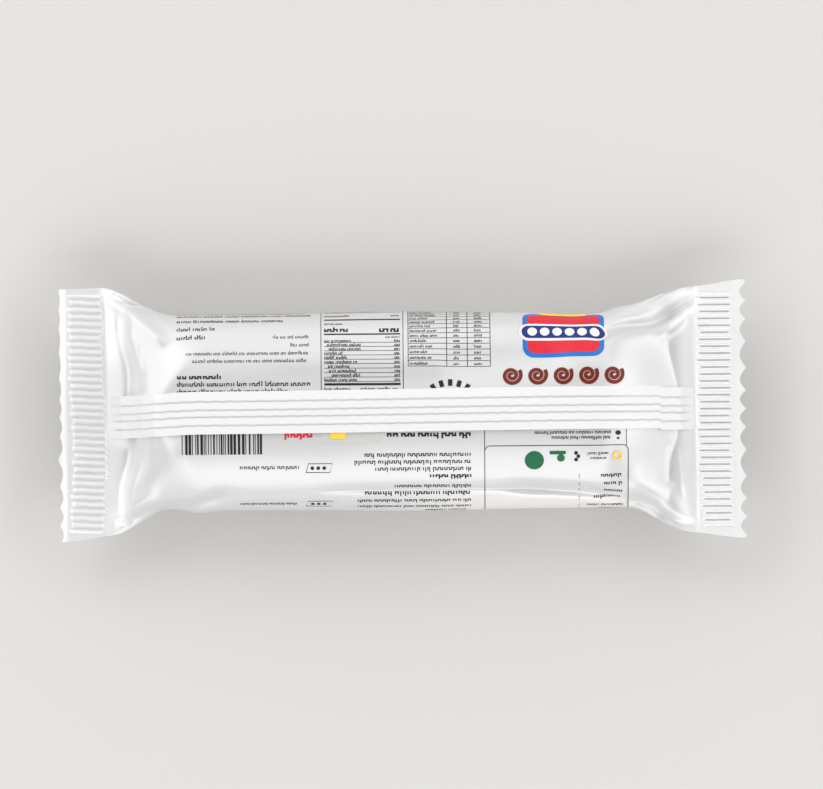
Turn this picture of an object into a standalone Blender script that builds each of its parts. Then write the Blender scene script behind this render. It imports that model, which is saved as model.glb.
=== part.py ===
"""A swiss roll cake in its shut flow-wrap pack, lying on its front with the back seal up.

The pack is one piece of white film round one soft cake, so it is one closed solid: an oval body
that rests on a flat spot, two tapers that flatten out to the end seals, and the back seal, a
folded-over strip that runs the whole length on top. X runs along the pack, Z is up, and the origin
is the middle of the resting face.

The surface is worked out as two sheets, an upper and a lower one, over the same outline. At each
station along X the sheets are superellipse arcs, and they become a flat lens towards the seals.
Folds, ridges and the toothed cut edges are added to that by their own functions.
"""

from collections import namedtuple

import bpy
import numpy as np

MM = 0.001

# Overall sizes
PACK_LENGTH = 150 * MM
BODY_HALF_WIDTH = 21.3 * MM
BODY_HEIGHT = 26 * MM
SEAL_THICKNESS = 0.5 * MM
HALF_LENGTH = PACK_LENGTH / 2

# The oval cross-section: its exponent, and how far the weight of the cake flattens its underside
OVAL_EXPONENT = 2.3
UNDERSIDE_PRESS = 1.09
PRESS_BLEND = 0.05
BODY_BULGE = 0.45 * MM
LENS_EXPONENT = 1.15

# Each corner of the outline: where the flare starts and ends along X, and the half width there and
# at the cut edge, with the distance from the pack's middle taken as positive
Corner = namedtuple("Corner", "flare_start flare_end seal_half_width cut_half_width")
CORNERS = {
    ("left", "far"): Corner(49 * MM, 66 * MM, 27.4 * MM, 27.1 * MM),
    ("left", "near"): Corner(51 * MM, 63.5 * MM, 26.4 * MM, 27.9 * MM),
    ("right", "far"): Corner(42.5 * MM, 65 * MM, 26.7 * MM, 28.1 * MM),
    ("right", "near"): Corner(48.5 * MM, 63 * MM, 26.7 * MM, 28.1 * MM),
}

# Soft swellings and dips of the outline: place along X, side, size and spread
Swelling = namedtuple("Swelling", "x side size spread")
SWELLINGS = (
    Swelling(-2 * MM, "far", 0.4 * MM, 16 * MM),
    Swelling(37 * MM, "far", -0.7 * MM, 7 * MM),
    Swelling(47 * MM, "far", 0.6 * MM, 2.5 * MM),
    Swelling(-44 * MM, "near", 0.5 * MM, 3 * MM),
    Swelling(-50 * MM, "near", -0.4 * MM, 3 * MM),
    Swelling(3 * MM, "near", 0.4 * MM, 18 * MM),
)

# How much the outline's fan at an end seal laps over the flare
FAN_LAP = 2 * MM

# Where the film rises from each end seal to the body's full height, from the pack's middle. The
# power, which is below 1, gives a round nose, and the foot's length hollows its start. The start
# leans along the pack away from its middle line, where the shoulder reaches further out.
RISE_START = {"left": 59.9 * MM, "right": 60.3 * MM}
RISE_END = {"left": 42.5 * MM, "right": 41.5 * MM}
RISE_POWER = {"left": 0.3, "right": 0.6}
START_LEAN = {"left": -2.2 * MM, "right": 2.2 * MM}
LEAN_FROM = {"left": 8 * MM, "right": 2 * MM}
LEAN_TO = {"left": 18 * MM, "right": 15 * MM}
FOOT_LENGTH = {"left": 3.8 * MM, "right": 0.4 * MM}
NOSE_LENGTH = {"left": 9.5 * MM, "right": 2.5 * MM}
NOSE_HALF_WIDTH = 18 * MM

# End seals: the ridged band, its ridges and the toothed cut edge
RIDGES_INNER = {"left": 64.8 * MM, "right": 64.3 * MM}
RIDGES_OUTER = {"left": 72.4 * MM, "right": 71.8 * MM}
RIDGE_COUNT = 34
RIDGE_PITCH = 1.51 * MM
RIDGE_HEIGHT = 0.45 * MM
TOOTH_PITCH = 4.7 * MM
TOOTH_DEPTH = {"left": 0.8 * MM, "right": 1.4 * MM}
TOOTH_FADE = {"left": 0.6, "right": 0.0}
TOOTH_SHIFT = {"left": 0.2, "right": 0.0}
TOOTH_DRIFT = 0.16
TEETH_PER_DRIFT = 5
LONG_TOOTH_PLACE = -10 * MM
LONG_TOOTH_SPREAD = 1.4 * MM
SET_BACK = {"left": 0.45 * MM, "right": 0.0}
LIP_DROOP = {"left": 0.7 * MM, "right": 0.3 * MM}
SEAL_WAVE_LENGTH = 37 * MM
SEAL_WAVE_HEIGHT = 0.6 * MM
SEAL_WAVE_START = 56 * MM
SEAL_WAVE_PHASE = {"left": 0.6, "right": -1.1}

# Back seal: a flat strip on top with four pressed grooves, given as shares of its width
FIN_WIDTH = 9.25 * MM
FIN_HEIGHT = 0.5 * MM
FIN_EDGE = 0.22 * MM
FIN_GROOVES = (0.2, 0.4, 0.56, 0.76)
FIN_GROOVE_WIDTH = 0.35 * MM
FIN_GROOVE_DEPTH = 0.22 * MM
FIN_SHIFT = 0.5 * MM
FIN_END_SHIFT = -0.9 * MM
FIN_FADE = 2 * MM

# The doubled film beside the left end seal slopes up to a crest. The crest leans outwards on the far
# half, and dies out past the back seal on the near half.
SKIRT_HEIGHT = 1.25 * MM
SKIRT_START = 64.2 * MM
SKIRT_CREST = 60.0 * MM
SKIRT_LEAN = 2.6 * MM
SKIRT_LEAN_REACH = (5 * MM, 22 * MM)
SKIRT_FADE = (-9 * MM, -3 * MM)
SKIRT_ROUNDING = 0.08

# Folds of the film: the points that a fold's line passes in millimetres, its width, its height,
# which is above 0 for a ridge and below it for a valley, and its form across the line
Fold = namedtuple("Fold", "line width height form")
FOLDS = (
    # The left taper: its far corner, the crest and streaks along its foot, and its near corner
    Fold(((-64.2, 29.4), (-62.6, 24.4), (-59, 21.6), (-50, 14)), 1.5 * MM, 1.1 * MM, "bell"),
    Fold(((-63.4, 26), (-61.4, 24), (-58.4, 23.2), (-52, 22.4)), 0.8 * MM, -1.1 * MM, "bell"),
    Fold(((-60.1, 2), (-60.4, -8), (-63, -38)), 2.2 * MM, 0.3 * MM, "bell"),
    Fold(((-57.8, 17), (-57.4, 8), (-57.6, 2)), 0.7 * MM, 0.25 * MM, "bell"),
    Fold(((-56.5, 16), (-56, 9), (-56.3, 3)), 0.6 * MM, -0.2 * MM, "bell"),
    Fold(((-57, -4), (-58, -13.4), (-60.4, -22)), 0.9 * MM, 0.2 * MM, "bell"),
    Fold(((-61.5, -25), (-58.6, -21.2), (-55.5, -19.4), (-52, -18.8)), 2.2 * MM, 0.6 * MM, "bell"),
    Fold(((-64, -27), (-58.5, -22.6), (-54, -21.2), (-47, -20.6), (-42.5, -19.2), (-36, -17)),
         1.3 * MM, -1.4 * MM, "bell"),
    # The right taper: the deep fold of its far corner between two ridges, its foot, its near corner
    Fold(((40, 14.4), (46.5, 18), (54.5, 18.2), (58, 20.6), (67, 26)),
         1.3 * MM, -1.7 * MM, "bell"),
    Fold(((46, 22), (53, 23.4), (62.5, 27)), 1.1 * MM, 0.6 * MM, "bell"),
    Fold(((54.5, 14.6), (58.6, 16.6), (61, 18.6), (62.2, 21)), 1.1 * MM, 0.5 * MM, "bell"),
    Fold(((59.6, -8), (60.1, -14), (61, -20)), 0.6 * MM, 0.35 * MM, "cusp"),
    Fold(((57, -6), (57.5, -12.4), (58, -17.5)), 1.6 * MM, -0.4 * MM, "bell"),
    Fold(((48, -15), (56, -17.6), (59.2, -21), (60.2, -27)), 2.9 * MM, 1.1 * MM, "bell"),
    Fold(((63.8, 38), (63.8, 0), (64, -38)), 0.5 * MM, 0.3 * MM, "cusp"),
    # The body: the long crease along its near flank, which runs on round the right taper's near
    # corner, and soft dents beside the back seal
    Fold(((-22, -17.3), (4, -16.8), (22, -16.8), (34, -17.4)), 0.9 * MM, -0.75 * MM, "cusp"),
    Fold(((20, -16.4), (41, -17.6), (48, -19.6), (53.4, -20), (57, -23.8), (65, -25.8)),
         1.2 * MM, -1.5 * MM, "bell"),
    Fold(((-55, -7.8), (-47, -7.4)), 2.4 * MM, -0.4 * MM, "bell"),
    Fold(((-34, 7.6), (0, 7), (30, 7.4)), 2.6 * MM, -0.25 * MM, "bell"),
    Fold(((6, 11.5), (22, 11), (38, 11.5)), 4.2 * MM, -0.9 * MM, "bell"),
    Fold(((-16, -2.5), (6, -2.5), (26, -2.5), (46, -2.5)), 7 * MM, 0.5 * MM, "bell"),
)
FOLD_FADE = 0.2
CORNER_CUTS = 2
CUSP_ROUNDING = 0.1
SHEETS_PART = 4
REST_FADE = (0.8, 0.97)

# How finely the surface is cut up
FLANK_STEPS = 13
LOWER_STEPS = 22
BODY_STATIONS = 25
TAPER_STATIONS = 19
SEAM_STEP = 0.3 * MM
SEAL_STATIONS = (1.0, 0.99, 0.66, 0.33, 0.01)
SEAL_COLUMNS_PER_RIDGE = 2

FILM_COLOUR = (0.86, 0.86, 0.86, 1)
FILM_ROUGHNESS = 0.35
SMOOTH_BELOW = np.radians(40)


def smoothstep(x, start, end):
    """0 up to start and 1 from end on, with an S-curve between them; start may be the larger."""
    share = np.clip((x - start) / (end - start), 0, 1)
    return share * share * (3 - 2 * share)


def by_end(x, values):
    """The left end's value where x is negative and the right end's elsewhere."""
    return np.where(np.asarray(x) < 0, values["left"], values["right"])


def half_width(x, side):
    """Half width of the outline: the body, plus an S-curve out to the seal, plus the swellings."""
    reach = np.abs(x)
    width = np.full_like(reach, BODY_HALF_WIDTH)
    for end in ("left", "right"):
        corner = CORNERS[end, side]
        here = (x < 0) == (end == "left")
        flare = smoothstep(reach, corner.flare_start, corner.flare_end)
        fan = smoothstep(reach, corner.flare_end - FAN_LAP, HALF_LENGTH)
        width = width + here * (
            (corner.seal_half_width - BODY_HALF_WIDTH) * flare
            + (corner.cut_half_width - corner.seal_half_width) * fan
        )
    for swelling in SWELLINGS:
        if swelling.side == side:
            width = width + swelling.size * np.exp(-(((x - swelling.x) / swelling.spread) ** 2))
    return width


def across_of(x, y):
    """Y as a share of the half width on its own side, from -1 to 1."""
    width = np.where(y > 0, half_width(x, "far"), half_width(x, "near"))
    return np.clip(y / width, -1, 1)


def fullness(x, y):
    """Share of the full height that the film has risen to: 0 at the end seals and 1 on the body. It
    is an S-curve to a power, times a short S-curve that hollows the foot. Away from the pack's
    middle line the rise starts further out on the left and further in on the right."""
    reach, aside = np.abs(x), np.abs(y)
    lean = smoothstep(aside, by_end(x, LEAN_FROM), by_end(x, LEAN_TO))
    start = by_end(x, RISE_START) - by_end(x, START_LEAN) * lean
    nose = by_end(x, NOSE_LENGTH) * smoothstep(aside, NOSE_HALF_WIDTH, 0)
    rise = smoothstep(reach, start, by_end(x, RISE_END) + nose)
    foot = smoothstep(reach, start, start - by_end(x, FOOT_LENGTH))
    return foot * rise ** by_end(x, RISE_POWER)


def oval(x, y):
    """Height of one sheet, as a share: (1 - |across|^n)^(1/m), with m easing to a flat lens."""
    across = across_of(x, y)
    full = fullness(x, y)
    roundness = LENS_EXPONENT + (OVAL_EXPONENT - LENS_EXPONENT) * full
    return full * np.clip(1 - np.abs(across) ** OVAL_EXPONENT, 0, 1) ** (1 / roundness)


def pressed(share):
    """The share, held at exactly 1 past 1 with a short parabolic blend, as where the cake rests."""
    low, high = 1 - PRESS_BLEND, 1 + PRESS_BLEND
    blended = 1 - (high - share) ** 2 / (4 * PRESS_BLEND)
    return np.where(share < low, share, np.where(share < high, blended, 1.0))


def smooth_line(points):
    """A line through points in millimetres with its corners cut off, each cut at a quarter of the
    way along both sides of the corner."""
    line = np.array(points) * MM
    for _ in range(CORNER_CUTS):
        ahead = line[:-1] * 0.75 + line[1:] * 0.25
        behind = line[:-1] * 0.25 + line[1:] * 0.75
        cut = np.stack([ahead, behind], axis=1).reshape(-1, 2)
        line = np.concatenate([line[:1], cut[1:-1], line[-1:]])
    return line


def across_fold(away, form):
    """A fold's height by the distance from its line in widths: a bell exp(-d^2), or a cusp exp(-d)
    with its tip rounded."""
    if form == "bell":
        return np.exp(-(away**2))
    return np.exp(-np.hypot(away, CUSP_ROUNDING))


def skirt(x, y):
    """Height of the skirt beside the left end seal: the lesser of a straight slope and 1, with
    their corner rounded, which gives way to the rise as the film climbs."""
    crest = SKIRT_CREST + SKIRT_LEAN * smoothstep(y, *SKIRT_LEAN_REACH)
    slope = np.clip((SKIRT_START + x) / (SKIRT_START - crest), 0, None)
    climb = (slope + 1 - np.hypot(slope - 1, SKIRT_ROUNDING)) / 2
    climb = np.where(x < 0, np.clip(climb, 0, 1), 0)
    return SKIRT_HEIGHT * climb * smoothstep(y, *SKIRT_FADE) * (1 - fullness(x, y))


def fold_relief(x, y, folds):
    """Sum of the skirt and the folds, each of which rises from 0 at both ends of its line."""
    relief = skirt(x, y)
    for fold in folds:
        line = smooth_line(fold.line)
        runs = np.diff(line, axis=0)
        lengths = np.hypot(*runs.T)
        nearest = np.full(relief.shape, np.inf)
        place = np.zeros(relief.shape)
        for start, run, length, before in zip(line, runs, lengths, np.cumsum(lengths) - lengths):
            along = ((x - start[0]) * run[0] + (y - start[1]) * run[1]) / length**2
            along = np.clip(along, 0, 1)
            away = np.hypot(x - start[0] - along * run[0], y - start[1] - along * run[1])
            place = np.where(away < nearest, (before + along * length) / lengths.sum(), place)
            nearest = np.minimum(away, nearest)
        fade = smoothstep(place, 0, FOLD_FADE) * smoothstep(place, 1, 1 - FOLD_FADE)
        relief = relief + fold.height * fade * across_fold(nearest / fold.width, fold.form)
    return relief


def fin_centre(x):
    """Where the back seal's middle lies across the pack."""
    drift = FIN_SHIFT * smoothstep(x, -RISE_END["left"], RISE_END["right"])
    return drift + FIN_END_SHIFT * smoothstep(x, -RISE_END["left"], -RIDGES_INNER["left"])


def fin_relief(x, share):
    """Height of the back seal over its own width, with its grooves; it flattens into the end seals."""
    depth = np.zeros(np.broadcast(x, share).shape)
    for groove in FIN_GROOVES:
        away = np.abs(share - groove) * FIN_WIDTH
        depth = depth + FIN_GROOVE_DEPTH * np.clip(1 - away / FIN_GROOVE_WIDTH, 0, 1)
    edge = np.minimum(share, 1 - share) * FIN_WIDTH
    inner = by_end(x, RIDGES_INNER)
    flattening = smoothstep(np.abs(x), inner, inner - FIN_FADE)
    return flattening * (np.clip(edge / FIN_EDGE, 0, 1) * FIN_HEIGHT - depth * (edge > 0))


def seal_wave(x, y):
    """The slow wave across an end seal, which the body doesn't share, and the lip's droop."""
    reach = np.abs(x)
    phase = 2 * np.pi * y / SEAL_WAVE_LENGTH + by_end(x, SEAL_WAVE_PHASE)
    wave = SEAL_WAVE_HEIGHT * np.sin(phase) * smoothstep(reach, SEAL_WAVE_START, HALF_LENGTH)
    return wave - by_end(x, LIP_DROOP) * smoothstep(reach, by_end(x, RIDGES_OUTER), HALF_LENGTH)


def ridge_relief(x, y):
    """The end seal's ridges: a zigzag across Y that fades at the ends of the ridged band."""
    inner = by_end(x, RIDGES_INNER)
    outer = by_end(x, RIDGES_OUTER)
    reach = np.abs(x)
    band = (reach > inner) & (reach < outer) & (np.abs(y) < RIDGE_COUNT * RIDGE_PITCH / 2)
    phase = np.abs((y / RIDGE_PITCH) % 1 - 0.5) * 4 - 1
    return band * RIDGE_HEIGHT / 2 * phase


def cut_edge(y, end):
    """How far the toothed cut edge stands from the pack's middle: sharp tips and round valleys.
    On the left it is set back by a little, apart from one tooth."""
    turn = y / TOOTH_PITCH + TOOTH_SHIFT[end]
    turn = turn + TOOTH_DRIFT * np.sin(2 * np.pi * y / (TEETH_PER_DRIFT * TOOTH_PITCH))
    long_tooth = np.exp(-(((y - LONG_TOOTH_PLACE) / LONG_TOOTH_SPREAD) ** 2))
    half_band = RIDGE_COUNT * RIDGE_PITCH / 2
    depth = TOOTH_DEPTH[end] * (1 - TOOTH_FADE[end] * smoothstep(y, -half_band, half_band))
    return HALF_LENGTH - SET_BACK[end] * (1 - long_tooth) - depth * np.abs(np.sin(np.pi * turn))


HALF_BODY = (BODY_HEIGHT - SEAL_THICKNESS) / 2
SEAL_PLANE = HALF_BODY + SEAL_THICKNESS / 2


def upper_sheet(x, y, fin_share):
    """Height of the upper sheet, with the back seal where fin_share is from 0 to 1."""
    bulge = BODY_BULGE * np.cos(np.pi * x / PACK_LENGTH) * fullness(x, y)
    body = (HALF_BODY - BODY_BULGE + bulge) * oval(x, y)
    folds = fold_relief(x, y, FOLDS)
    fin = fin_relief(x, np.clip(fin_share, 0, 1))
    return SEAL_PLANE + SEAL_THICKNESS / 2 + body + folds + fin + seal_wave(x, y) + ridge_relief(x, y)


def lower_sheet(x, y):
    """Height of the lower sheet, which is exactly 0 where the pack rests. Near the outline it goes
    with the folds of the upper sheet, and further in it has their mirror image."""
    height = oval(x, y)
    share = pressed(height * UNDERSIDE_PRESS)
    apart = np.clip(height * SHEETS_PART, 0, 1)
    folds = fold_relief(x, y, FOLDS) * (1 - apart) - fold_relief(x, -y, FOLDS) * apart
    folds = folds * (1 - smoothstep(share, *REST_FADE))
    height = HALF_BODY * (1 - share) + folds + seal_wave(x, y) + ridge_relief(x, y)
    return np.where(share >= 1, 0.0, height)


def flank(x, side, start, steps):
    """Points across one flank, from Y = start out to the outline, closer together near the edge."""
    edge = half_width(x, side) * (1 if side == "far" else -1)
    share = np.sin(np.linspace(0, np.pi / 2, steps + 1))
    return start + (edge - start) * share


def fin_columns():
    """Shares of the back seal's width where its edges and grooves need a point."""
    shares = [0, FIN_EDGE / FIN_WIDTH, 1 - FIN_EDGE / FIN_WIDTH, 1]
    half_groove = FIN_GROOVE_WIDTH / FIN_WIDTH
    for groove in FIN_GROOVES:
        shares += [groove - half_groove, groove, groove + half_groove]
    return np.array(sorted(shares))


def body_row(station):
    """One ring of points round the body: (upper points, lower points), both from -Y to +Y."""
    shares = fin_columns()
    strip = fin_centre(station) + (shares - 0.5) * FIN_WIDTH
    near = flank(np.full(FLANK_STEPS + 1, station), "near", strip[0], FLANK_STEPS)[:0:-1]
    far = flank(np.full(FLANK_STEPS + 1, station), "far", strip[-1], FLANK_STEPS)[1:]
    y = np.concatenate([near, strip, far])
    fin_share = np.concatenate([np.zeros(len(near)), shares, np.ones(len(far))])
    x = np.full_like(y, station)
    upper = np.column_stack([x, y, upper_sheet(x, y, fin_share)])
    turn = np.linspace(-np.pi / 2, np.pi / 2, LOWER_STEPS + 1)
    x = np.full_like(turn, station)
    y = np.sin(turn) * np.where(turn > 0, half_width(x, "far"), half_width(x, "near"))
    lower = np.column_stack([x, y, lower_sheet(x, y)])
    return upper, lower


def seal_row(end, share):
    """One ring across an end seal, share of the way from the ridges' inner end to the cut edge."""
    half_band = RIDGE_COUNT * RIDGE_PITCH / 2
    y = np.linspace(-half_band, half_band, SEAL_COLUMNS_PER_RIDGE * RIDGE_COUNT + 1)
    sign = -1 if end == "left" else 1
    inner, outer = RIDGES_INNER[end], RIDGES_OUTER[end]
    if share < 1:
        reach = np.full_like(y, inner + (outer - inner) * share)
    else:
        reach = cut_edge(y, end)
    x = sign * reach
    far = half_width(x, "far")
    near = half_width(x, "near")
    # The band's own columns stay on the ridges, and the two outermost move out to the outline
    y = np.concatenate([[-near[0]], y, [far[-1]]])
    x = np.concatenate([x[:1], x, x[-1:]])
    upper = np.column_stack([x, y, upper_sheet(x, y, np.zeros_like(y))])
    lower = np.column_stack([x, y, lower_sheet(x, y)])
    return upper, lower


def stations():
    """Places along X of the body's rings, closer together in the tapers."""
    left = np.linspace(SEAM_STEP - RIDGES_INNER["left"], -RISE_END["left"], TAPER_STATIONS)
    right = np.linspace(RISE_END["right"], RIDGES_INNER["right"] - SEAM_STEP, TAPER_STATIONS)
    body = np.linspace(-RISE_END["left"], RISE_END["right"], BODY_STATIONS)
    return np.concatenate([left[:-1], body, right[1:]])


class Shell:
    """Gathers rows of points and the triangles between them."""

    def __init__(self):
        self.points = []
        self.faces = []

    def add(self, row):
        """Adds a row of points and returns their numbers."""
        first = len(self.points)
        self.points.extend(map(tuple, row))
        return list(range(first, len(self.points)))

    def zip_rows(self, first, second, flip):
        """Triangles between two rows that run the same way, whatever their counts: each step goes
        along the row whose next point comes first across the pack."""
        i = j = 0
        share_a = self.shares(first)
        share_b = self.shares(second)
        while i < len(first) - 1 or j < len(second) - 1:
            along_first = j == len(second) - 1 or (
                i < len(first) - 1 and share_a[i + 1] <= share_b[j + 1]
            )
            if along_first:
                face = (first[i], first[i + 1], second[j])
                i += 1
            else:
                face = (first[i], second[j + 1], second[j])
                j += 1
            self.faces.append(face[::-1] if flip else face)

    def shares(self, row):
        """Each point's Y as a share of its row's width."""
        y = np.array([self.points[k][1] for k in row])
        return np.round((y - y[0]) / (y[-1] - y[0]), 6)


def pack_mesh():
    """The whole pack as one closed surface, ring by ring from the left cut edge to the right."""
    rings = [seal_row("left", share) for share in SEAL_STATIONS]
    rings += [body_row(station) for station in stations()]
    rings += [seal_row("right", share) for share in reversed(SEAL_STATIONS)]
    shell = Shell()
    numbered = [(shell.add(upper), shell.add(lower)) for upper, lower in rings]
    for (upper, lower), (next_upper, next_lower) in zip(numbered, numbered[1:]):
        shell.zip_rows(upper, next_upper, True)
        shell.zip_rows(lower, next_lower, False)
        for edge in (0, -1):
            a, b = upper[edge], next_upper[edge]
            c, d = next_lower[edge], lower[edge]
            wall = (d, c, b, a) if edge == 0 else (a, b, c, d)
            shell.faces.append(wall)
    for (upper, lower), flip in ((numbered[0], False), (numbered[-1], True)):
        for k in range(len(upper) - 1):
            wall = (upper[k], upper[k + 1], lower[k + 1], lower[k])
            shell.faces.append(wall[::-1] if flip else wall)
    mesh = bpy.data.meshes.new("pack")
    mesh.from_pydata(shell.points, [], shell.faces)
    mesh.validate()
    return mesh


def film_material():
    """Glossy white film."""
    material = bpy.data.materials.new("white_film")
    material.use_nodes = True
    shader = material.node_tree.nodes["Principled BSDF"]
    shader.inputs["Base Color"].default_value = FILM_COLOUR
    shader.inputs["Roughness"].default_value = FILM_ROUGHNESS
    return material


def main():
    """Clears the scene and builds the pack."""
    for obj in list(bpy.data.objects):
        bpy.data.objects.remove(obj)
    mesh = pack_mesh()
    pack = bpy.data.objects.new("pack", mesh)
    bpy.context.scene.collection.objects.link(pack)
    pack.data.materials.append(film_material())
    mesh.shade_smooth()
    mesh.set_sharp_from_angle(angle=SMOOTH_BELOW)


main()
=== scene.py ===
"""The looks of a swiss roll cake in its shut flow-wrap pack, lying on its front.

The wrap is white packaging film. Its surface is worked out as an upper and a lower sheet over one
outline: superellipse arcs on the body that flatten into lenses towards the end seals, with folds
added as bells or cusps across bowed lines, and a skirt of doubled film beside the left end seal.
The end seals are ridged plates with toothed edges, and the back seal is a thin strip that follows
the upper sheet. The print is thin patches of ink, drawn flat as places along the pack and round its
girth and then wrapped on the film.
"""

import bpy
import numpy as np
from collections import namedtuple
from mathutils import Matrix, Vector


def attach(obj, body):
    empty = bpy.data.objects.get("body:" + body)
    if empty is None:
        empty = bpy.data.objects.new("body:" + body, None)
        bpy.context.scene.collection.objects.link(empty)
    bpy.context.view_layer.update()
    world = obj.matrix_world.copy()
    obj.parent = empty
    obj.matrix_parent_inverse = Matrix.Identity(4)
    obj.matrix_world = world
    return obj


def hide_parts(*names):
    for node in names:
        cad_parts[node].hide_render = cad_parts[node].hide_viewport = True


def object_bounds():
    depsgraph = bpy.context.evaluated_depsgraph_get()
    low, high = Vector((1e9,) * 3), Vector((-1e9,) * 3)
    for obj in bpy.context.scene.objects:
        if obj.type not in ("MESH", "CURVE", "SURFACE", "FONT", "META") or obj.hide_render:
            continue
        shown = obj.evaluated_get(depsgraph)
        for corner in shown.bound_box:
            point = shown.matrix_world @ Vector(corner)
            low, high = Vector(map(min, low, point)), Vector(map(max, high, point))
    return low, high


MM = 0.001

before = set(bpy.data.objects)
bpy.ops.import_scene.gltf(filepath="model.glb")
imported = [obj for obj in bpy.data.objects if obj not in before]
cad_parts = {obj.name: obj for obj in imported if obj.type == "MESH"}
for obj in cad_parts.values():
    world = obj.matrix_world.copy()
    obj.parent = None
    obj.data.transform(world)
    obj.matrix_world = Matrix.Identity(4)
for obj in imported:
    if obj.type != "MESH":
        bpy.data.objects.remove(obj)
solid_low, solid_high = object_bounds()

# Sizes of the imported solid, and the film's own
HALF_LENGTH = (solid_high.x - solid_low.x) / 2
BODY_HEIGHT = 26 * MM
FILM = 0.2 * MM
HALF_BODY = (BODY_HEIGHT - FILM) / 2
SEAL_PLANE = BODY_HEIGHT / 2
BODY_HALF_WIDTH = 21.3 * MM

OVAL_EXPONENT = 2.3
UNDERSIDE_PRESS = 1.09
PRESS_BLEND = 0.05
BODY_BULGE = 0.45 * MM
LENS_EXPONENT = 1.15

# Each corner of the outline: where its flare starts and ends, and the half widths it flares to
Corner = namedtuple("Corner", "flare_start flare_end seal_half_width cut_half_width")
CORNERS = {
    ("left", "far"): Corner(49 * MM, 66 * MM, 27.4 * MM, 27.1 * MM),
    ("left", "near"): Corner(51 * MM, 63.5 * MM, 26.4 * MM, 27.9 * MM),
    ("right", "far"): Corner(42.5 * MM, 65 * MM, 26.7 * MM, 28.1 * MM),
    ("right", "near"): Corner(48.5 * MM, 63 * MM, 26.7 * MM, 28.1 * MM),
}
# How far before its flare ends an end seal begins to fan out to its cut edge
FAN_LEAD = 2 * MM

Swelling = namedtuple("Swelling", "x side size spread")
SWELLINGS = (
    Swelling(-2 * MM, "far", 0.4 * MM, 16 * MM),
    Swelling(37 * MM, "far", -0.7 * MM, 7 * MM),
    Swelling(47 * MM, "far", 0.6 * MM, 2.5 * MM),
    Swelling(-44 * MM, "near", 0.5 * MM, 3 * MM),
    Swelling(-50 * MM, "near", -0.4 * MM, 3 * MM),
    Swelling(3 * MM, "near", 0.4 * MM, 18 * MM),
)

# Where the film rises from each end seal to the body's full height. The power, which is below 1,
# gives a round nose, and the foot's length hollows its start. The start leans along the pack away
# from its middle line, where the shoulder reaches further out.
RISE_START = {"left": 59.9 * MM, "right": 60.3 * MM}
RISE_END = {"left": 42.5 * MM, "right": 41.5 * MM}
RISE_POWER = {"left": 0.3, "right": 0.6}
START_LEAN = {"left": -2.2 * MM, "right": 2.2 * MM}
LEAN_FROM = {"left": 8 * MM, "right": 2 * MM}
LEAN_TO = {"left": 18 * MM, "right": 15 * MM}
FOOT_LENGTH = {"left": 3.8 * MM, "right": 0.4 * MM}
NOSE_LENGTH = {"left": 9.5 * MM, "right": 2.5 * MM}
NOSE_HALF_WIDTH = 18 * MM

# End seals
SEAL_INNER = {"left": 64.6 * MM, "right": 63.7 * MM}
RIDGES_INNER = {"left": 64.8 * MM, "right": 64.3 * MM}
RIDGES_OUTER = {"left": 72.4 * MM, "right": 71.8 * MM}
RIDGE_COUNT = 34
RIDGE_PITCH = 1.51 * MM
RIDGE_HEIGHT = 0.5 * MM
RIDGE_END_FADE = 0.6 * MM
RIDGE_STEP = 0.13
RIDGE_STEP_REACH = (0.35, 0.65)
RIDGE_POWER = 1.6
RIDGE_LEVEL = 0.4
GROOVE_POWER = 12
GROOVE_LEVEL = 0.2
SECOND_GROOVE_TURN = 0.3
SECOND_GROOVE_POWER = 14
SECOND_GROOVE_SHARE = 0.4
BAND_BOW = 0.8 * MM
BAND_BOW_PLACE = -9 * MM
BAND_BOW_SPREAD = 12 * MM
BAND_SHIFT = 1 * MM
BAND_SHIFT_REACH = (-10 * MM, -22 * MM)
RAGGED = 0.25 * MM
RAGGED_MORE = 0.2 * MM
TOOTH_PITCH = 4.7 * MM
TOOTH_DEPTH = {"left": 0.8 * MM, "right": 1.4 * MM}
TOOTH_FADE = {"left": 0.6, "right": 0.0}
TOOTH_SHIFT = {"left": 0.2, "right": 0.0}
TOOTH_DRIFT = 0.16
TEETH_PER_DRIFT = 5
TOOTH_ROUNDING = 0.004
LONG_TOOTH_PLACE = -10 * MM
LONG_TOOTH_SPREAD = 1.4 * MM
SET_BACK = {"left": 0.45 * MM, "right": 0.0}
LIP_DROOP = {"left": 0.7 * MM, "right": 0.3 * MM}
SEAL_WAVE_LENGTH = 37 * MM
SEAL_WAVE_HEIGHT = 0.6 * MM
SEAL_WAVE_START = 56 * MM
SEAL_WAVE_PHASE = {"left": 0.6, "right": -1.1}

# Back seal
FIN_WIDTH = 9.25 * MM
FIN_THICKNESS = 0.14 * MM
FIN_GROOVES = (0.2, 0.4, 0.56, 0.76)
FIN_GROOVE_WIDTH = 0.2 * MM
FIN_GROOVE_DEPTH = 0.24 * MM
FIN_ROOT_LIFT = 0.06 * MM
FIN_LIFT = 0.5 * MM
FIN_RIPPLE = 0.09 * MM
FIN_RIPPLE_LENGTH = 3.3 * MM
FIN_SHIFT = 0.5 * MM
FIN_END_SHIFT = -0.9 * MM
FIN_END = {"left": 64.6 * MM, "right": 64.3 * MM}
FIN_FOOT = {"left": 60.8 * MM, "right": 60.6 * MM}
FIN_KNEE = {"left": 53.6 * MM, "right": 56 * MM}
FIN_KINK = 0.35 * MM
FIN_FADE = 3.5 * MM
FIN_FLAT_RUN = 9 * MM
FIN_FLAT_SHARE = 0.85
FIN_LIFT_POWER = 0.8
FIN_EDGE_SHARE = 0.08
FIN_SINK = 0.1 * MM
FIN_SINK_RUN = 1.5 * MM
FIN_WAVE = 0.1 * MM
FIN_WAVE_LENGTH = 11 * MM
FIN_RIPPLE_TURN = 0.3

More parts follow.
